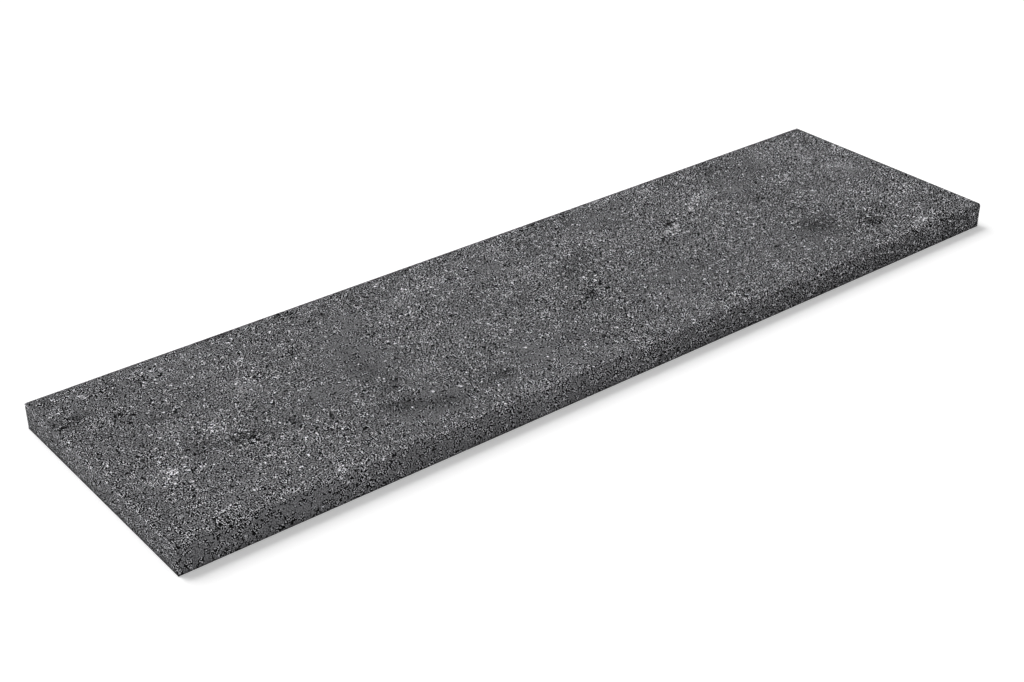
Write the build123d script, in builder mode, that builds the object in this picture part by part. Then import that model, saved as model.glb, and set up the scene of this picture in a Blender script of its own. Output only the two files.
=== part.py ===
"""Solid porcelain stair tread tile, 1200 x 330 x 33 mm, pressed and fired as one piece.

Frame: X runs along the step, Y goes back towards the riser behind, and Z is up.
The origin is the middle of the bed, which is the face that the mortar holds.
All sizes are in millimetres.
"""

import os

from build123d import *

# The tile as it is cut
tread_length = 1200
tread_depth = 330
tread_thickness = 33

# Its eased edges: the nosing is the front edge that the foot meets
nosing_radius = 3.5
back_arris_radius = 1.5
end_arris_radius = 0.8
bed_bevel = 0.3

# Its keyed back: shallow square cells between ribs that the mortar grips
cell_size = 28
rib_width = 6
key_depth = 1
key_draft_angle = 30
plain_border = 22

cell_pitch = cell_size + rib_width


def cells_along(span):
    """How many cells fit between the plain borders: an even number, so that ribs cross at the middle."""
    pairs = (span - 2 * plain_border + rib_width) // (2 * cell_pitch)
    return 2 * int(pairs)


with BuildPart() as step_tile:
    # Section across the step, with the rounded nosing in front and a lighter arris at the back
    with BuildSketch(Plane.YZ):
        Rectangle(tread_depth, tread_thickness, align=(Align.CENTER, Align.MIN))
        fillet(vertices().group_by(Axis.Y)[-1].sort_by(Axis.X)[0], nosing_radius)
        fillet(vertices().group_by(Axis.Y)[-1].sort_by(Axis.X)[-1], back_arris_radius)
    extrude(amount=tread_length / 2, both=True)

    # Both sawn ends: the arris runs up the corner, over the section and down again
    bed_edges = edges().group_by(Axis.Z)[0]
    fillet(faces().filter_by(Axis.X).edges() - bed_edges, end_arris_radius)

    # The small bevel that grinding the sides to size leaves round the bed
    chamfer(faces().sort_by(Axis.Z)[0].edges(), bed_bevel)

    # The keyed back, pressed into the bed with drafted walls
    with BuildSketch(Plane.XY):
        with GridLocations(cell_pitch, cell_pitch, cells_along(tread_length), cells_along(tread_depth)):
            Rectangle(cell_size, cell_size)
    extrude(amount=key_depth, taper=key_draft_angle, mode=Mode.SUBTRACT)

step_tile.part.label = "step_tile"

os.makedirs("parts", exist_ok=True)
export_step(step_tile.part, "parts/step_tile.step")
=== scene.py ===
"""A solid porcelain stair tread tile, lying on a pale studio floor.

The tile's mesh is cut from one block: its arrises are eased, its faces are cut into a fine net,
and the net is roughened, pitted and set with pale grains, as the fired face is.
"""

import math

import bmesh
import bpy
import numpy as np
from mathutils import Matrix, Vector, noise


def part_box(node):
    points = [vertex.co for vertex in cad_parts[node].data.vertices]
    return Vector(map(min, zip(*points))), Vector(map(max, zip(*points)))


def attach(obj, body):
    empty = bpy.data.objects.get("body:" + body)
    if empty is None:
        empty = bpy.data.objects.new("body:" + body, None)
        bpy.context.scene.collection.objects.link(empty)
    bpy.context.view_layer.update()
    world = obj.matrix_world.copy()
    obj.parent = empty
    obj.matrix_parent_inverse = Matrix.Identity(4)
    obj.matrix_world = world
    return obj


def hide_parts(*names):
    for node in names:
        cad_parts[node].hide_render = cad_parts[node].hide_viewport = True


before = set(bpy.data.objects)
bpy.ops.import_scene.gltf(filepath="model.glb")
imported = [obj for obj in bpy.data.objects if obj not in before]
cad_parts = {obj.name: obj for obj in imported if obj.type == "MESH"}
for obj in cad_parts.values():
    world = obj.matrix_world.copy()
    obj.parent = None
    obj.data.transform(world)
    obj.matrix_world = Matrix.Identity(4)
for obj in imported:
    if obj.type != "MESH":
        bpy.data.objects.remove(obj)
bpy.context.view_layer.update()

# The tile's block
# One slab of porcelain, pressed in one thickness, fired and then ground to size.
# Its front top edge is rounded as a nosing, and its other edges are only eased.
MM = 0.001
TILE_LOW, TILE_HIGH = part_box("step_tile")
TILE_SIZE = TILE_HIGH - TILE_LOW
TILE_MIDDLE = (TILE_LOW + TILE_HIGH) / 2
NOSING_RADIUS = 3.5 * MM
BACK_ARRIS = 1.5 * MM
BED_ARRIS = 0.3 * MM
END_ARRIS = 0.8 * MM
NOSING_STEPS = 6
ARRIS_STEPS = 3
NET_PITCH = 2.5 * MM
SNAP = 0.001 * MM
SQUARE_ON = 0.99

tile = bmesh.new()
bmesh.ops.create_cube(tile, size=1.0)
bmesh.ops.scale(tile, vec=TILE_SIZE - Vector((2 * END_ARRIS, 0, 0)), verts=tile.verts)
bmesh.ops.translate(tile, vec=TILE_MIDDLE, verts=tile.verts)


def round_long_edge(y, z, radius, steps):
    """Rounds the edge that runs along the step at this depth and height."""
    edges = [
        edge
        for edge in tile.edges
        if all(abs(v.co.y - y) < SNAP and abs(v.co.z - z) < SNAP for v in edge.verts)
    ]
    bmesh.ops.bevel(
        tile,
        geom=edges,
        offset=radius,
        offset_type="OFFSET",
        segments=steps,
        profile=0.5,
        affect="EDGES",
        material=-1,
    )


round_long_edge(TILE_LOW.y, TILE_HIGH.z, NOSING_RADIUS, NOSING_STEPS)
round_long_edge(TILE_HIGH.y, TILE_HIGH.z, BACK_ARRIS, ARRIS_STEPS)
round_long_edge(TILE_LOW.y, TILE_LOW.z, BED_ARRIS, ARRIS_STEPS)
round_long_edge(TILE_HIGH.y, TILE_LOW.z, BED_ARRIS, ARRIS_STEPS)

tile.faces.ensure_lookup_table()
ends = [face for face in tile.faces if abs(face.normal.x) > SQUARE_ON]
for step in range(ARRIS_STEPS):
    before = math.pi / 2 * step / ARRIS_STEPS
    after = math.pi / 2 * (step + 1) / ARRIS_STEPS
    bmesh.ops.inset_individual(
        tile,
        faces=ends,
        thickness=END_ARRIS * (math.cos(before) - math.cos(after)),
        depth=END_ARRIS * (math.sin(after) - math.sin(before)),
        use_even_offset=True,
    )

# The net
# The visible faces are cut into cells about as wide as a coarse grain, which then carry the
# relief. The bed is left out, because it has its own pattern.
bed = [face for face in tile.faces if face.normal.z < -SQUARE_ON]
bmesh.ops.delete(tile, geom=bed, context="FACES_ONLY")


def spaced(start, stop):
    """Places between start and stop that are one net pitch apart, both ends included."""
    return np.linspace(start, stop, round((stop - start) / NET_PITCH) + 1)


def cut_across(axis, places):
    """Cuts square to an axis at each place, working only on what lies past the last cut."""
    normal = Vector((0, 0, 0))
    normal[axis] = 1
    faces = list(tile.faces)
    for place in places:
        edges = {edge for face in faces for edge in face.edges}
        verts = {vert for face in faces for vert in face.verts}
        cut = bmesh.ops.bisect_plane(
            tile,
            geom=[*faces, *edges, *verts],
            dist=SNAP,
            plane_co=normal * place,
            plane_no=normal,
        )
        faces = [
            part
            for part in cut["geom"]
            if isinstance(part, bmesh.types.BMFace)
            and max(vert.co[axis] for vert in part.verts) > place + SNAP
        ]


cut_across(0, spaced(TILE_LOW.x + END_ARRIS, TILE_HIGH.x - END_ARRIS)[1:-1])
cut_across(1, spaced(TILE_LOW.y + NOSING_RADIUS, TILE_HIGH.y - BACK_ARRIS))
cut_across(2, spaced(TILE_LOW.z + BED_ARRIS, TILE_HIGH.z - NOSING_RADIUS))

# Pale and dark drifts
# Dark clay and pale feldspar grains lie in drifts, typed in from smoothed maps of the
# photo. Each: millimetres from the left end and back from the nosing, half its length and width,
# its turn in degrees, and its strength, below 0 where a cloud is darker or a patch calmer.
PALE_DRIFTS = [
    (60, 112, 17, 14, 35, 1.0),
    (127, 298, 8, 16, 20, 1.0),
    (123, 260, 8, 7, 0, 0.5),
    (130, 165, 11, 9, 0, 1.0),
    (148, 112, 15, 8, 10, 0.4),
    (85, 155, 24, 8, 40, 0.3),
    (205, 223, 9, 9, 0, 0.7),
    (222, 256, 14, 9, 0, 0.4),
    (198, 12, 18, 10, 0, 0.5),
    (62, 18, 16, 10, 0, 0.35),
    (150, 60, 16, 24, 0, 0.2),
    (235, 70, 8, 16, 0, 0.2),
    (376, 208, 7, 22, 0, 0.5),
    (414, 168, 8, 18, -20, 0.4),
    (430, 228, 16, 7, 0, 0.4),
    (485, 275, 26, 9, 12, 0.5),
    (455, 322, 10, 7, 0, 0.3),
    (548, 198, 9, 9, 0, 0.8),
    (492, 158, 8, 14, 25, 0.35),
    (520, 135, 8, 8, 0, 0.4),
    (580, 160, 8, 10, 0, 0.35),
    (600, 127, 30, 8, 0, 0.35),
    (656, 148, 8, 18, -20, 0.4),
    (617, 303, 9, 8, 0, 0.5),
    (622, 258, 9, 8, 0, 0.3),
    (632, 62, 7, 7, 0, 0.3),
    (606, 25, 8, 7, 0, 0.5),
    (708, 242, 16, 7, 0, 0.4),
    (775, 20, 12, 8, 0, 0.2),
    (836, 203, 44, 9, 26, 0.75),
    (920, 250, 26, 9, 32, 0.8),
    (815, 232, 12, 8, -20, 0.5),
    (887, 309, 12, 10, 0, 0.8),
    (952, 315, 7, 8, 0, 1.1),
    (812, 322, 18, 6, 0, 0.6),
    (875, 158, 14, 8, 0, 0.35),
    (1022, 160, 14, 8, 0, 0.35),
    (1063, 224, 9, 8, 0, 0.7),
    (1112, 127, 12, 10, 20, 0.6),
    (1161, 94, 12, 9, 0, 1.0),
    (1108, 17, 16, 9, 0, 0.7),
    (1063, 27, 8, 7, 0, 0.6),
    (1187, 245, 10, 9, 0, 0.7),
    (1125, 315, 12, 8, 0, 0.5),
]
PIT_DRIFTS = [
    (70, 238, 26, 8, 18, 0.8),
    (20, 262, 18, 10, 0, 0.4),
    (115, 294, 9, 10, 0, 0.6),
    (97, 129, 12, 8, 0, 0.8),
    (115, 145, 8, 12, 0, 0.5),
    (155, 125, 16, 9, 30, 0.8),
    (206, 120, 8, 12, 0, 0.6),
    (48, 150, 10, 9, 0, 0.6),
    (70, 200, 8, 8, 0, 0.3),
    (222, 224, 18, 8, -60, 0.45),
    (258, 258, 10, 12, 30, 0.6),
    (277, 238, 9, 7, 0, 0.6),
    (240, 326, 18, 5, 0, 1.0),
    (323, 322, 10, 12, 0, 0.9),
    (65, 6, 14, 6, 0, 0.7),
    (320, 70, 30, 10, 30, 0.35),
    (235, 75, 26, 12, -40, 0.3),
    (371, 214, 9, 12, -20, 0.8),
    (355, 195, 12, 8, 0, 0.4),
    (420, 202, 16, 8, 0, 0.5),
    (362, 57, 9, 8, 0, 1.1),
    (410, 85, 20, 10, -50, 0.35),
    (453, 107, 9, 9, 0, 0.4),
    (500, 325, 14, 6, 0, 0.5),
    (632, 133, 14, 9, 25, 1.3),
    (656, 148, 10, 12, 30, 0.7),
    (594, 121, 9, 8, 0, 0.5),
    (626, 62, 10, 7, 0, 0.6),
    (672, 72, 8, 12, 30, 0.8),
    (700, 312, 14, 12, -30, 0.6),
    (780, 22, 12, 7, 20, 0.9),
    (832, 217, 10, 9, 0, 0.9),
    (795, 182, 22, 8, 15, 0.6),
    (795, 236, 10, 7, 0, 0.4),
    (870, 218, 30, 6, 0, 0.4),
    (948, 282, 8, 8, 0, 0.6),
    (940, 318, 22, 7, -20, 0.6),
    (1004, 148, 9, 9, 0, 0.9),
    (985, 190, 9, 9, 0, 0.4),
    (1050, 55, 12, 12, 0, 1.1),
    (1085, 75, 12, 12, 30, 0.6),
    (1145, 8, 10, 7, 0, 0.8),
    (1045, 200, 9, 7, 0, 0.35),
]
TONE_CLOUDS = [
    (60, 112, 22, 16, 30, 0.8),
    (95, 178, 22, 12, 40, 0.6),
    (140, 165, 12, 22, 0, 0.5),
    (142, 289, 20, 9, -25, 1.0),
    (185, 300, 10, 14, 0, 0.6),
    (180, 255, 16, 12, 0, 0.7),
    (225, 250, 10, 18, 0, 0.7),
    (198, 208, 16, 20, 0, 1.2),
    (110, 45, 22, 14, 0, 0.5),
    (188, 98, 14, 8, 0, 0.7),
    (200, 8, 30, 9, 0, 0.8),
    (405, 243, 20, 16, 0, 0.6),
    (445, 268, 34, 11, 22, 0.9),
    (500, 280, 20, 9, 0, 0.8),
    (528, 250, 18, 12, 0, 0.9),
    (555, 298, 14, 10, 0, 0.9),
    (545, 205, 12, 10, 0, 0.6),
    (614, 292, 12, 20, -20, 1.2),
    (603, 246, 14, 14, 0, 0.9),
    (590, 220, 20, 8, 0, 0.9),
    (640, 240, 12, 8, 0, 0.9),
    (418, 185, 16, 9, 0, 0.8),
    (460, 168, 14, 12, 0, 0.9),
    (440, 142, 20, 10, 40, 0.6),
    (495, 158, 16, 8, -45, 0.8),
    (385, 115, 16, 12, 30, 0.9),
    (455, 8, 28, 14, 0, 0.9),
    (570, 14, 18, 14, 0, 0.9),
    (515, 20, 14, 10, 0, 0.7),
    (645, 30, 14, 10, 0, 0.7),
    (700, 72, 24, 16, -60, 0.7),
    (728, 28, 12, 18, 0, 0.7),
    (700, 262, 12, 14, 0, 0.6),
    (700, 160, 14, 14, 0, 0.6),
    (768, 221, 28, 8, 0, 0.9),
    (815, 38, 12, 10, 0, 0.7),
    (862, 42, 16, 14, 0, 0.6),
    (858, 162, 24, 8, 0, 0.7),
    (850, 325, 20, 8, -30, 0.9),
    (925, 243, 20, 9, 20, 1.3),
    (945, 262, 10, 12, 0, 0.7),
    (975, 238, 16, 10, -20, 0.6),
    (956, 316, 7, 12, 0, 0.7),
    (1050, 180, 10, 22, 0, 0.4),
    (1065, 222, 14, 9, 0, 0.7),
    (1082, 290, 16, 22, 0, 1.0),
    (1128, 262, 20, 18, -30, 1.3),
    (1112, 235, 14, 14, 0, 0.6),
    (1125, 305, 16, 12, 0, 0.7),
    (1120, 190, 14, 26, 0, 0.6),
    (1155, 200, 16, 24, 0, 1.6),
    (1190, 255, 12, 16, 0, 0.6),
    (25, 265, 26, 13, 0, -1.3),
    (15, 312, 16, 12, 0, -0.7),
    (40, 218, 9, 14, 0, -0.6),
    (88, 300, 8, 20, 0, -0.8),
    (105, 138, 16, 10, 0, -0.9),
    (152, 125, 26, 9, 0, -1.2),
    (208, 120, 14, 8, 0, -0.9),
    (105, 218, 18, 12, 0, -0.9),
    (12, 60, 14, 60, 0, -0.5),
    (240, 135, 9, 18, 0, -0.5),
    (325, 150, 18, 60, 0, -0.8),
    (315, 70, 24, 14, -20, -1.5),
    (355, 48, 20, 14, 0, -1.3),
    (435, 56, 18, 11, 0, -1.2),
    (398, 62, 14, 14, 0, -0.5),
    (230, 326, 16, 5, 0, -1.4),
    (318, 318, 14, 10, 0, -0.8),
    (350, 295, 14, 16, 0, -0.5),
    (400, 305, 14, 18, 0, -0.7),
    (475, 322, 30, 8, 0, -0.4),
    (512, 212, 22, 12, 20, -0.6),
    (560, 180, 14, 20, 0, -0.5),
    (600, 132, 10, 20, 0, -0.8),
    (633, 133, 12, 12, 0, -1.0),
    (640, 200, 14, 14, 0, -0.8),
    (675, 205, 30, 16, 40, -1.0),
    (665, 172, 14, 20, 0, -0.7),
    (740, 190, 34, 9, 0, -0.5),
    (540, 70, 14, 10, 0, -0.8),
    (600, 62, 34, 14, 0, -0.4),
    (655, 285, 14, 30, 0, -0.6),
    (695, 326, 20, 7, 0, -1.5),
    (735, 308, 16, 14, 0, -1.0),
    (790, 262, 26, 12, 0, -0.5),
    (790, 105, 24, 14, 0, -0.4),
    (825, 192, 26, 8, 0, -0.7),
    (925, 310, 12, 14, 0, -0.9),
    (995, 300, 30, 26, 0, -0.8),
    (1000, 190, 24, 40, 0, -0.7),
    (988, 92, 30, 20, 0, -1.9),
    (1055, 62, 24, 18, 0, -1.6),
    (1088, 85, 16, 9, 0, -1.1),
    (1015, 55, 24, 14, 0, -0.6),
    (1140, 50, 26, 18, 0, -0.4),
    (1190, 75, 14, 50, 0, -0.6),
    (1155, 130, 26, 9, 0, -0.5),
    (1172, 290, 9, 12, 0, -1.3),
    (1150, 7, 16, 6, 0, -1.0),
    (1042, 262, 12, 18, 0, -0.5),
]
BUSY_PATCHES = [
    (45, 240, 40, 8, 8, 0.8),
    (125, 302, 12, 14, 0, 1.2),
    (55, 325, 18, 7, 0, 0.5),
    (215, 258, 10, 14, 0, 0.7),
    (225, 225, 30, 12, 0, 0.5),
    (270, 242, 12, 16, 0, 0.6),
    (156, 210, 20, 10, -50, 0.6),
    (125, 165, 18, 10, 10, 1.0),
    (55, 135, 16, 34, 0, 0.7),
    (150, 115, 20, 14, 20, 0.8),
    (60, 60, 9, 24, 0, 0.5),
    (65, 12, 22, 12, 0, 1.0),
    (165, 75, 30, 20, 0, 0.5),
    (205, 8, 34, 9, 0, 0.5),
    (320, 322, 14, 8, 0, 0.7),
    (372, 215, 9, 14, 0, 1.4),
    (442, 228, 30, 12, 0, 0.7),
    (480, 272, 18, 14, 0, 0.8),
    (412, 165, 12, 22, -30, 0.8),
    (400, 85, 28, 14, -20, 0.8),
    (520, 150, 20, 9, 0, 0.4),
    (550, 198, 12, 8, 0, 0.8),
    (575, 160, 12, 14, 0, 0.7),
    (620, 130, 44, 8, 0, 1.2),
    (657, 148, 12, 18, -20, 1.4),
    (527, 100, 8, 16, 0, 0.5),
    (628, 62, 9, 9, 0, 1.3),
    (604, 18, 8, 12, 0, 1.0),
    (622, 240, 9, 9, 0, 0.6),
    (614, 302, 12, 8, 0, 0.7),
    (715, 240, 18, 8, 0, 0.8),
    (775, 18, 16, 9, 0, 1.0),
    (830, 203, 28, 12, 26, 1.9),
    (795, 180, 22, 8, 15, 1.0),
    (905, 238, 34, 11, 32, 1.3),
    (825, 262, 10, 12, 0, 1.0),
    (806, 322, 16, 8, 0, 1.0),
    (888, 310, 18, 14, 0, 1.3),
    (950, 305, 12, 16, 0, 1.2),
    (805, 145, 26, 8, 0, 0.7),
    (925, 165, 14, 14, 0, 0.6),
    (955, 110, 9, 10, 0, 0.8),
    (1015, 150, 24, 10, 10, 1.0),
    (1030, 125, 9, 12, 0, 0.8),
    (1050, 210, 22, 9, 20, 0.8),
    (1112, 232, 12, 10, 0, 0.9),
    (1115, 126, 14, 10, 0, 1.2),
    (1165, 92, 15, 14, 0, 1.5),
    (1110, 16, 22, 13, 0, 1.4),
    (1075, 65, 10, 26, 20, 1.3),
    (1190, 245, 12, 10, 0, 1.4),
    (1148, 6, 14, 6, 0, 0.9),
    (40, 275, 20, 9, 0, -0.4),
    (335, 190, 30, 60, 0, -0.9),
    (265, 145, 28, 20, 0, -0.7),
    (370, 262, 14, 30, 0, -0.6),
    (345, 55, 56, 34, 0, -0.8),
    (515, 65, 64, 50, 0, -0.8),
    (582, 262, 24, 34, 0, -0.8),
    (655, 268, 28, 18, 0, -0.4),
    (772, 290, 52, 24, 0, -0.8),
    (758, 110, 54, 30, 0, -0.8),
    (700, 60, 40, 40, 0, -0.6),
    (880, 72, 60, 38, 0, -0.7),
    (975, 80, 50, 50, 0, -0.9),
    (980, 240, 30, 32, 0, -1.1),
    (965, 190, 14, 14, 0, -0.5),
    (1040, 282, 50, 38, 0, -0.9),
    (1150, 310, 60, 14, 0, -0.6),
    (1150, 180, 42, 30, 0, -0.9),
    (1080, 180, 28, 12, 0, -0.5),
    (1150, 48, 26, 18, 0, -0.6),
]


def drift_strength(places, drifts):
    """How strongly each place, in metres, lies in the drifts."""
    along = (places[:, 0] - TILE_LOW.x) / MM
    back = (places[:, 1] - TILE_LOW.y) / MM
    total = np.zeros(len(places))
    for left, front, half_length, half_width, turn, strength in drifts:
        cosine, sine = math.cos(math.radians(turn)), math.sin(math.radians(turn))
        lengthwise = (along - left) * cosine + (back - front) * sine
        crosswise = (back - front) * cosine - (along - left) * sine
        off_middle = (lengthwise / half_length) ** 2 + (crosswise / half_width) ** 2
        total += strength * np.exp(-off_middle)
    return total


# The fired face
# Firing leaves the face rough: it undulates by a tenth of a millimetre, coarse grains stand in
# it, and where a grain tore out or a gas bubble broke there is a pit.
NET_JITTER = 0.32
RELIEF_DEPTH = 0.12 * MM
SWELL_SHARE = 0.4
UNDULATION = 9 * MM
FLAT_ENOUGH = 0.9999
SEED = 33

rng = np.random.default_rng(SEED)
tile.normal_update()
for vert in tile.verts:
    if vert.is_boundary:
        continue
    normal = vert.normal.copy()
    flat = max(abs(component) for component in normal) > FLAT_ENOUGH
    slip = Vector(rng.uniform(-1, 1, 3)) * (NET_JITTER * NET_PITCH if flat else 0)
    swell = 0.5 + 0.5 * noise.noise(vert.co / UNDULATION)
    sunk = RELIEF_DEPTH * (SWELL_SHARE * swell + (1 - SWELL_SHARE) * rng.random())
    vert.co += slip - normal * slip.dot(normal) - normal * sunk

PIT_EVERYWHERE = 0.006
PIT_IN_DRIFT = 0.09
PIT_PAIR = 0.45
PIT_WALL = 0.2 * MM
PIT_DEPTH = 0.7 * MM
PIT_DARKNESS = (0.6, 1.0)
GRAIN_EVERYWHERE = 0.0015
GRAIN_IN_DRIFT = 0.10
GRAIN_RIM = 0.3 * MM
GRAIN_HEIGHT = 0.04 * MM
GRAIN_PALENESS = (0.35, 1.0)
FACES_OUT = 0.97

fleck = tile.faces.layers.float.new("fleck")
faces = [
    face
    for face in tile.faces
    if max(abs(component) for component in face.normal) > FACES_OUT
    and TILE_LOW.z + 2 * BED_ARRIS < face.calc_center_median().z
    and len(face.verts) == 4
]
centres = np.array([face.calc_center_median() for face in faces])
pit_chance = PIT_EVERYWHERE + PIT_IN_DRIFT * drift_strength(centres, PIT_DRIFTS)
grain_chance = GRAIN_EVERYWHERE + GRAIN_IN_DRIFT * drift_strength(centres, PALE_DRIFTS)
luck = rng.random(len(faces))
pits = [faces[i] for i in np.flatnonzero(luck < pit_chance)]
grains = [faces[i] for i in np.flatnonzero((luck >= pit_chance) & (luck > 1 - grain_chance))]
usable = set(faces) - set(grains)
for face in list(pits):
    if rng.random() < PIT_PAIR:
        beside = [other for edge in face.edges for other in edge.link_faces]
        neighbours = [other for other in beside if other in usable]
        pits.append(neighbours[rng.integers(len(neighbours))])
pits = list(dict.fromkeys(pits))
grains = [face for face in grains if face not in set(pits)]
for face in pits:
    face[fleck] = -rng.uniform(*PIT_DARKNESS)
for face in grains:
    face[fleck] = rng.uniform(*GRAIN_PALENESS)
for set_in, width, rise in ((grains, GRAIN_RIM, GRAIN_HEIGHT), (pits, PIT_WALL, -PIT_DEPTH)):
    bmesh.ops.inset_region(tile, faces=set_in, thickness=width, depth=rise, use_even_offset=True)

# The keyed back
# The press leaves shallow square cells in the bed, between ribs that the mortar grips.
# They stop short of the edges, which are plain.
CELL_SIZE = 28 * MM
RIB_WIDTH = 6 * MM
KEY_DEPTH = 1 * MM
KEY_DRAFT = math.radians(30)
CELLS_ALONG = 34
CELLS_ACROSS = 8
HARD_EDGED = 1.2 * KEY_DEPTH

cell_pitch = CELL_SIZE + RIB_WIDTH
rim = [edge for edge in tile.edges if edge.is_boundary]
cells = bmesh.ops.create_grid(tile, x_segments=CELLS_ALONG, y_segments=CELLS_ACROSS, size=0.5)
grid_size = (CELLS_ALONG * cell_pitch, CELLS_ACROSS * cell_pitch, 1)
bmesh.ops.scale(tile, vec=grid_size, verts=cells["verts"])
bmesh.ops.translate(tile, vec=(TILE_MIDDLE.x, TILE_MIDDLE.y, TILE_LOW.z), verts=cells["verts"])
cell_faces = list(dict.fromkeys(face for vert in cells["verts"] for face in vert.link_faces))
bmesh.ops.reverse_faces(tile, faces=[face for face in cell_faces if face.normal.z > 0])
grid_rim = [edge for face in cell_faces for edge in face.edges if edge.is_boundary]
bmesh.ops.bridge_loops(tile, edges=rim + grid_rim)
for width, rise in ((RIB_WIDTH / 2, 0), (KEY_DEPTH * math.tan(KEY_DRAFT), -KEY_DEPTH)):
    bmesh.ops.inset_individual(
        tile, faces=cell_faces, thickness=width, depth=rise, use_even_offset=True
    )
tile.normal_update()
for face in tile.faces:
    face.smooth = face.calc_center_median().z > TILE_LOW.z + HARD_EDGED

# Nothing of the relief stands out past the tile's real size.
for vert in tile.verts:
    for axis in range(3):
        vert.co[axis] = min(max(vert.co[axis], TILE_LOW[axis]), TILE_HIGH[axis])

tile_mesh = bpy.data.meshes.new("step_tile_face")
tile.to_mesh(tile_mesh)
tile.free()


def store(name, values):
    """Keeps one number for each vertex, which the material reads by name."""
    layer = tile_mesh.attributes.new(name, "FLOAT", "POINT")
    layer.data.foreach_set("value", values.astype(np.float32))


def read_off(parts, name, width, kind):
    """One row of this width for each part of the mesh, with what it holds under this name."""
    values = np.zeros(len(parts) * width, kind)
    parts.foreach_get(name, values)
    return values.reshape(-1, width)


# The numbers that the material reads: how many pale and dark grains lie at a place, how
# strongly the grains show, how light the body is, and the painted light and shade. The cut ends
# get a painted highlight near the top and painted shade at the foot, the front gets painted
# shade at its foot, and the top is painted darker along its back and right edges.
FRONT_BAND = 0.5 * MM
END_HIGHLIGHT_FADE = 5.5 * MM
END_HIGHLIGHT_GAIN = 0.60
END_SHADE_HEIGHT = 6 * MM
END_SHADE_DEPTH = 0.9
FRONT_SHADE_HEIGHT = 3 * MM
FRONT_SHADE_DEPTH = 0.6
RIM_WIDTH = 5 * MM
RIM_DEPTH = 0.5
BUSY_LEAN = 0.7
FRONT_CALM = 0.36
END_BUSY = -0.25
TOP_LEAN = 0.2
FRONT_LEAN = 1.0
places = read_off(tile_mesh.vertices, "co", 3, np.float32).astype(float)
store("pale", drift_strength(places, PALE_DRIFTS))
store("pitted", drift_strength(places, PIT_DRIFTS))
along = places[:, 0] - TILE_MIDDLE.x
at_front = places[:, 1] < TILE_LOW.y + FRONT_BAND
at_end = np.abs(along) > TILE_SIZE.x / 2 - END_ARRIS
busy_lean = np.where(at_end, END_BUSY, BUSY_LEAN * along) - FRONT_CALM * at_front
store("busy", drift_strength(places, BUSY_PATCHES) + busy_lean)
tone_lean = np.where(at_front, FRONT_LEAN, TOP_LEAN) * along
store("tone", drift_strength(places, TONE_CLOUDS) - tone_lean)
above_bed = places[:, 2] - TILE_LOW.z
# Painted highlight: the cut ends are painted lighter just below their top arris, fading
# downwards.
painted_end_highlight = at_end * np.exp((places[:, 2] - TILE_HIGH.z) / END_HIGHLIGHT_FADE)
# Painted shade: the cut ends are painted darker towards the floor.
painted_end_foot_shade = at_end * np.clip(1 - above_bed / END_SHADE_HEIGHT, 0, 1)
# Painted shade: the foot of the front is painted darker towards the floor.
painted_front_foot_shade = at_front * ~at_end * np.clip(1 - above_bed / FRONT_SHADE_HEIGHT, 0, 1)
# The top is painted darker along its back and right edges.
on_top = places[:, 2] > TILE_HIGH.z - BACK_ARRIS
to_rim = np.minimum(TILE_HIGH.y - places[:, 1], TILE_HIGH.x - places[:, 0])
darker_top_rim = on_top * ~at_end * np.clip(1 - to_rim / RIM_WIDTH, 0, 1)
# Painted shade at the feet and the darker top rim, taken off the painted highlight.
darkened = END_SHADE_DEPTH * painted_end_foot_shade + FRONT_SHADE_DEPTH * painted_front_foot_shade + RIM_DEPTH * darker_top_rim
store("painted_light_and_shade", END_HIGHLIGHT_GAIN * painted_end_highlight - darkened)

# The sides are folded out level with the top, so that the material can cut every grain through
# its middle. The layout is in metres.
FACES_DOWN = -0.5
face_sizes = read_off(tile_mesh.polygons, "loop_total", 1, np.int32)[:, 0]
face_centres = read_off(tile_mesh.polygons, "center", 3, np.float32)
face_normals = read_off(tile_mesh.polygons, "normal", 3, np.float32)
centre = np.repeat(face_centres - np.array(TILE_MIDDLE), face_sizes, axis=0)
faces_down = np.repeat(face_normals[:, 2] < FACES_DOWN, face_sizes)
corners = places[read_off(tile_mesh.loops, "vertex_index", 1, np.int32)[:, 0]]
drop = (TILE_HIGH.z - corners[:, 2]) * ~faces_down
folded_end = np.abs(centre[:, 0]) > TILE_SIZE.x / 2 - END_ARRIS
flat_along = corners[:, 0] + np.sign(centre[:, 0]) * drop * folded_end
flat_across = corners[:, 1] + np.sign(centre[:, 1]) * drop * ~folded_end
layout = np.stack([flat_along, flat_across], axis=1).astype(np.float32)
tile_mesh.uv_layers.new(name="flat_layout").data.foreach_set("uv", layout.ravel())

tile_piece = bpy.data.objects.new("step_tile_face", tile_mesh)
bpy.context.scene.collection.objects.link(tile_piece)

# The porcelain
# Unglazed full-body porcelain in dark grey, pressed from a granulate and fired matt.
# The eye sees a salt and pepper of grains about two millimetres wide, dark pits, pale
# feldspar, faint clouds, and next to no gloss.
GRAIN_WIDTH = 2.0 * MM
GRAIN_SPREAD = 0.08
CLUSTER_WIDTH = 7 * MM
CLUSTER_LOOSE = 0.5
CLUSTER_DENSE = 0.62
LOOSE_STRENGTH = 0.3
DENSE_STRENGTH = 2.1
PALE_WIDTH = 1.8 * MM
PIT_WIDTH = 2.3 * MM
CLOUD_WIDTH = 45 * MM
GRAIN_TURN = (0.61, 0.44, 0.26)
BODY_TINT = (1.0, 1.0, 1.045)
BODY_VALUE = 0.432
TONE_REACH = 0.085
BUSY_LEVEL = 0.85
BUSY_CLOUDS = 0.5
BUSY_REACH = 0.95
BUSY_LEAST = 0.35
GRAIN_CONTRAST = 3.4
GRAIN_TONES = 0.6
GRAIN_EDGE = 0.30
CONTRAST_LEAST = 0.7
CONTRAST_SPREAD = 0.6
PALE_EVERYWHERE = 0.015
PALE_IN_DRIFT = 0.09
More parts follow.
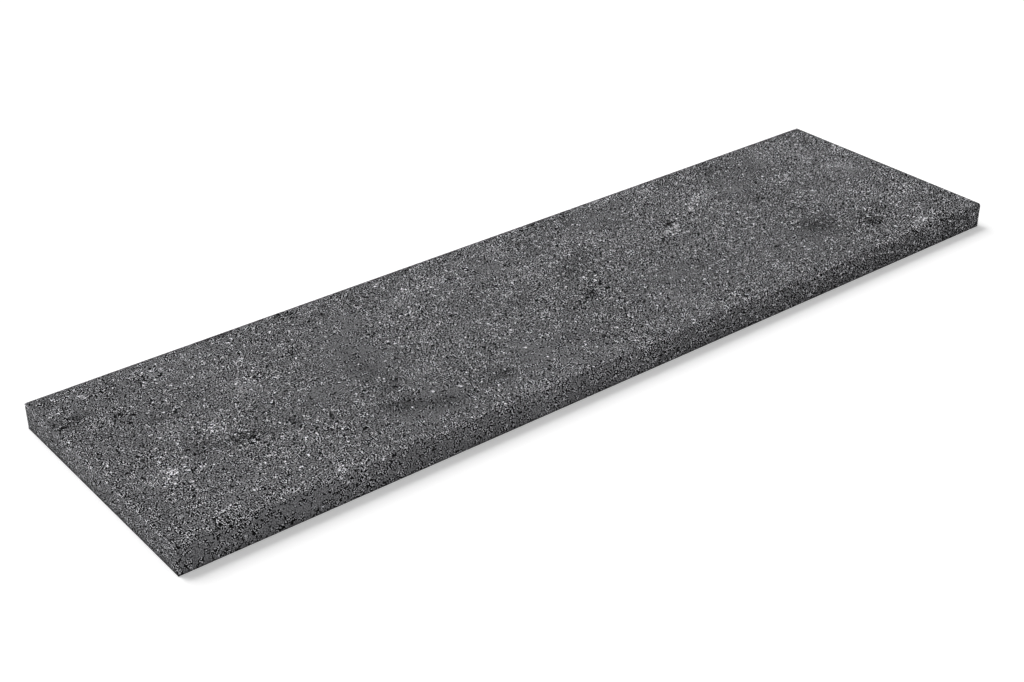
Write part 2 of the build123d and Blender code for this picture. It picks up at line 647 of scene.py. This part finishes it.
DARK_EVERYWHERE = 0.096
DARK_IN_DRIFT = 0.20
FLECK_FADE = 0.6
DARKEST = 0.03
PALEST = 0.95
EYE_CURVE = 2.2
GRIT_SHARE = 0.5
VALUE_SHARE = 0.6
BUMP_STRENGTH = 0.4
BUMP_DEPTH = 0.15 * MM
ROUGH_LEAST = 0.62
ROUGH_SPREAD = 0.2


def hex_colour(code):
    """The linear colour of an sRGB hex value."""
    channels = [int(code[i : i + 2], 16) / 255 for i in (1, 3, 5)]
    linear = [c / 12.92 if c <= 0.04045 else ((c + 0.055) / 1.055) ** 2.4 for c in channels]
    return (*linear, 1)


def add_node(tree, kind, inputs=None, **settings):
    """Adds a node with its settings, and a number, a colour or a link for each input named."""
    node = tree.nodes.new(kind)
    for name, value in settings.items():
        setattr(node, name, value)
    for name, value in (inputs or {}).items():
        if isinstance(value, bpy.types.NodeSocket):
            tree.links.new(value, node.inputs[name])
        else:
            node.inputs[name].default_value = value
    return node


porcelain = bpy.data.materials.new("unglazed_porcelain_matt")
porcelain.use_nodes = True
tree = porcelain.node_tree
tree.nodes.clear()


def maths(operation, *values):
    """The output of a Math node on these numbers or links."""
    node = add_node(tree, "ShaderNodeMath", dict(enumerate(values)), operation=operation)
    return node.outputs[0]


def attribute(name):
    """The number that the mesh holds under this name."""
    return add_node(tree, "ShaderNodeAttribute", attribute_name=name).outputs["Fac"]


place = add_node(tree, "ShaderNodeTexCoord").outputs["Object"]
clouds = add_node(
    tree, "ShaderNodeTexNoise", {"Vector": place, "Scale": 1 / CLOUD_WIDTH, "Detail": 3.0}
).outputs[0]

# Each grain has a tone of its own, is palest at its middle and darkens towards the clay around
# it. The grains show most where they lie in clusters, and are a little finer to the left.
turned = add_node(
    tree, "ShaderNodeMapping", {"Vector": place, "Rotation": GRAIN_TURN}
).outputs[0]
swarm = add_node(
    tree, "ShaderNodeTexNoise", {"Vector": turned, "Scale": 1 / CLUSTER_WIDTH, "Detail": 1.0}
).outputs[0]
cluster = add_node(
    tree,
    "ShaderNodeMapRange",
    {
        "Value": swarm,
        "From Min": CLUSTER_LOOSE,
        "From Max": CLUSTER_DENSE,
        "To Min": LOOSE_STRENGTH,
        "To Max": DENSE_STRENGTH,
    },
).outputs[0]
lengthwise = add_node(tree, "ShaderNodeSeparateXYZ", {"Vector": place}).outputs["X"]
grain_scale = maths("MULTIPLY_ADD", lengthwise, -GRAIN_SPREAD / GRAIN_WIDTH, 1 / GRAIN_WIDTH)
laid_flat = add_node(tree, "ShaderNodeUVMap", uv_map="flat_layout").outputs[0]
grain_cells = add_node(
    tree,
    "ShaderNodeTexVoronoi",
    {"Vector": laid_flat, "Scale": grain_scale},
    voronoi_dimensions="2D",
)
busy = maths("MULTIPLY_ADD", clouds, BUSY_CLOUDS, BUSY_LEVEL)
busy = maths("MAXIMUM", maths("MULTIPLY_ADD", attribute("busy"), BUSY_REACH, busy), BUSY_LEAST)
busy = maths("MULTIPLY", busy, cluster)
own = add_node(tree, "ShaderNodeSeparateColor", {0: grain_cells.outputs["Color"]}).outputs
strength = maths("MULTIPLY_ADD", own[0], CONTRAST_SPREAD, CONTRAST_LEAST)
strength = maths("MULTIPLY", busy, strength)
grain = maths("SUBTRACT", GRAIN_EDGE, grain_cells.outputs["Distance"])
grain = maths("MULTIPLY", maths("MULTIPLY", grain, GRAIN_CONTRAST), strength)
own_tone = maths("MULTIPLY_ADD", own[1], GRAIN_TONES, -GRAIN_TONES / 2)
own_tone = maths("MULTIPLY", own_tone, busy)
tone = maths("MULTIPLY_ADD", attribute("tone"), TONE_REACH, BODY_VALUE)


def flecks(width, share, where):
    """1 in whole cells of this width, picked at random up to this share, and 0 elsewhere."""
    share = maths("MULTIPLY", share, busy)
    cells = add_node(tree, "ShaderNodeTexVoronoi", {"Vector": where, "Scale": 1 / width})
    chance = add_node(tree, "ShaderNodeSeparateColor", {0: cells.outputs["Color"]}).outputs[1]
    full = maths("MULTIPLY", share, FLECK_FADE)
    return add_node(
        tree, "ShaderNodeMapRange", {"Value": chance, "From Min": share, "From Max": full}
    ).outputs[0]


# The raised grains and the pits of the mesh are flecks too: above 0 pale, and below 0 dark.
pale_share = maths("MULTIPLY_ADD", attribute("pale"), PALE_IN_DRIFT, PALE_EVERYWHERE)
dark_share = maths("MULTIPLY_ADD", attribute("pitted"), DARK_IN_DRIFT, DARK_EVERYWHERE)
hollow = maths("MULTIPLY", attribute("fleck"), -1.0)
pale = maths("MAXIMUM", flecks(PALE_WIDTH, pale_share, place), attribute("fleck"))
pit = maths("MAXIMUM", flecks(PIT_WIDTH, dark_share, turned), hollow)
value = maths("ADD", maths("ADD", grain, own_tone), tone)
value = maths("MINIMUM", maths("MAXIMUM", value, DARKEST), PALEST)
value = maths("MAXIMUM", value, maths("MULTIPLY", pale, PALEST))
value = maths("MULTIPLY", value, maths("SUBTRACT", 1.0, pit))
shade = maths("POWER", value, EYE_CURVE)
# The painted highlight and painted shade that the mesh holds scale the colour here.
shade = maths("MULTIPLY", shade, maths("ADD", attribute("painted_light_and_shade"), 1.0))
body = add_node(
    tree, "ShaderNodeVectorMath", {0: BODY_TINT, "Scale": shade}, operation="SCALE"
).outputs[0]

grit = add_node(
    tree, "ShaderNodeTexNoise", {"Vector": place, "Scale": 1 / GRAIN_WIDTH, "Detail": 2.0}
).outputs[0]
height = maths("MULTIPLY_ADD", value, VALUE_SHARE, maths("MULTIPLY", grit, GRIT_SHARE))
height = maths("SUBTRACT", height, pit)
bump = add_node(
    tree,
    "ShaderNodeBump",
    {"Height": height, "Strength": BUMP_STRENGTH, "Distance": BUMP_DEPTH},
)
roughness = maths("MULTIPLY_ADD", grit, ROUGH_SPREAD, ROUGH_LEAST)
surface = add_node(
    tree,
    "ShaderNodeBsdfPrincipled",
    {
        "Base Color": body,
        "Roughness": roughness,
        "Normal": bump.outputs[0],
        "IOR": 1.5,
        "Specular IOR Level": 0.06,
    },
)
add_node(tree, "ShaderNodeOutputMaterial", {"Surface": surface.outputs[0]})
tile_mesh.materials.append(porcelain)

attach(tile_piece, "root")
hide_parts("step_tile")

# The floor
# A pale matt studio sweep that shows white where the light reaches it and keeps the tile's
# shadow. It is one large flat sheet.
FLOOR_HALF = 4.0
FLOOR_PARTS = 8
FLOOR_GAP = 0.05 * MM
FLOOR_WHITE = "#f7f7f7"
FLOOR_LIFT = 0.24

floor = bmesh.new()
bmesh.ops.create_grid(floor, x_segments=FLOOR_PARTS, y_segments=FLOOR_PARTS, size=FLOOR_HALF)
floor_mesh = bpy.data.meshes.new("studio_floor")
floor.to_mesh(floor_mesh)
floor.free()
floor_piece = bpy.data.objects.new("studio_floor", floor_mesh)
floor_piece.location.z = TILE_LOW.z - FLOOR_GAP
bpy.context.scene.collection.objects.link(floor_piece)

sweep = bpy.data.materials.new("matt_white_sweep")
sweep.use_nodes = True
tree = sweep.node_tree
tree.nodes.clear()


def seen_share():
    """1 for a ray from the camera, or one that a shiny or clear thing passes on, else 0."""
    path = add_node(tree, "ShaderNodeLightPath")
    seen = maths("ADD", path.outputs["Is Camera Ray"], path.outputs["Is Glossy Ray"])
    return maths("MINIMUM", maths("ADD", seen, path.outputs["Is Transmission Ray"]), 1.0)


paint = add_node(tree, "ShaderNodeBsdfDiffuse", {"Color": hex_colour(FLOOR_WHITE)})
lift_seen = maths("MULTIPLY", seen_share(), FLOOR_LIFT)
lift = add_node(tree, "ShaderNodeEmission", {"Strength": lift_seen})
both = add_node(tree, "ShaderNodeAddShader", {0: paint.outputs[0], 1: lift.outputs[0]})
add_node(tree, "ShaderNodeOutputMaterial", {"Surface": both.outputs[0]})
floor_mesh.materials.append(sweep)

# The studio light
# An even white room, a broad lamp high behind the tile, which throws its shadow forward, a
# smaller one nearly overhead, and a weak one low in front of the left end.
ROOM_LIGHT = 0.38
BACK_LAMP = 0.48 * math.pi
BACK_LAMP_FROM = (-0.22, 0.60, 0.78)
BACK_LAMP_WIDTH = 41
HIGH_LAMP = 0.185 * math.pi
HIGH_LAMP_FROM = (-0.12, 0.40, 0.92)
HIGH_LAMP_WIDTH = 13
LEFT_LAMP = 0.07 * math.pi
LEFT_LAMP_FROM = (-0.62, -0.64, 0.30)
LEFT_LAMP_WIDTH = 50

room = bpy.data.worlds.new("white_room")
bpy.context.scene.world = room
room.use_nodes = True
tree = room.node_tree
tree.nodes.clear()
level = add_node(
    tree, "ShaderNodeMapRange", {"Value": seen_share(), "To Min": ROOM_LIGHT, "To Max": 1.0}
)
air = add_node(
    tree, "ShaderNodeBackground", {"Color": (1, 1, 1, 1), "Strength": level.outputs[0]}
)
add_node(tree, "ShaderNodeOutputWorld", {"Surface": air.outputs[0]})


def hang_lamp(name, strength, source, width):
    """Hangs a broad, far lamp that shines from the side of source."""
    lamp = bpy.data.lights.new(name, "SUN")
    lamp.energy = strength
    lamp.angle = math.radians(width)
    hung = bpy.data.objects.new(name, lamp)
    hung.rotation_euler = Vector(source).to_track_quat("Z", "Y").to_euler()
    bpy.context.scene.collection.objects.link(hung)


hang_lamp("lamp_behind", BACK_LAMP, BACK_LAMP_FROM, BACK_LAMP_WIDTH)
hang_lamp("lamp_high", HIGH_LAMP, HIGH_LAMP_FROM, HIGH_LAMP_WIDTH)
hang_lamp("lamp_left", LEFT_LAMP, LEFT_LAMP_FROM, LEFT_LAMP_WIDTH)

# The camera
# It stands in front of the left end and looks down over the tile, at the photograph's angle.
CAMERA_PLACE = (-1.1395, -1.3477, 0.9861)
CAMERA_TURN = -38.609
CAMERA_DIP = 30.030
CAMERA_ROLL = -0.122
CAMERA_LENS = 58.86
CAMERA_SENSOR = 36

camera_data = bpy.data.cameras.new("camera")
camera_data.lens = CAMERA_LENS
camera_data.sensor_width = CAMERA_SENSOR
camera = bpy.data.objects.new("camera", camera_data)
camera.matrix_world = (
    Matrix.Translation(CAMERA_PLACE)
    @ Matrix.Rotation(math.radians(CAMERA_TURN), 4, "Z")
    @ Matrix.Rotation(math.radians(90 - CAMERA_DIP), 4, "X")
    @ Matrix.Rotation(math.radians(CAMERA_ROLL), 4, "Z")
)
bpy.context.scene.collection.objects.link(camera)
bpy.context.scene.camera = camera
bpy.context.scene.view_settings.view_transform = "Standard"
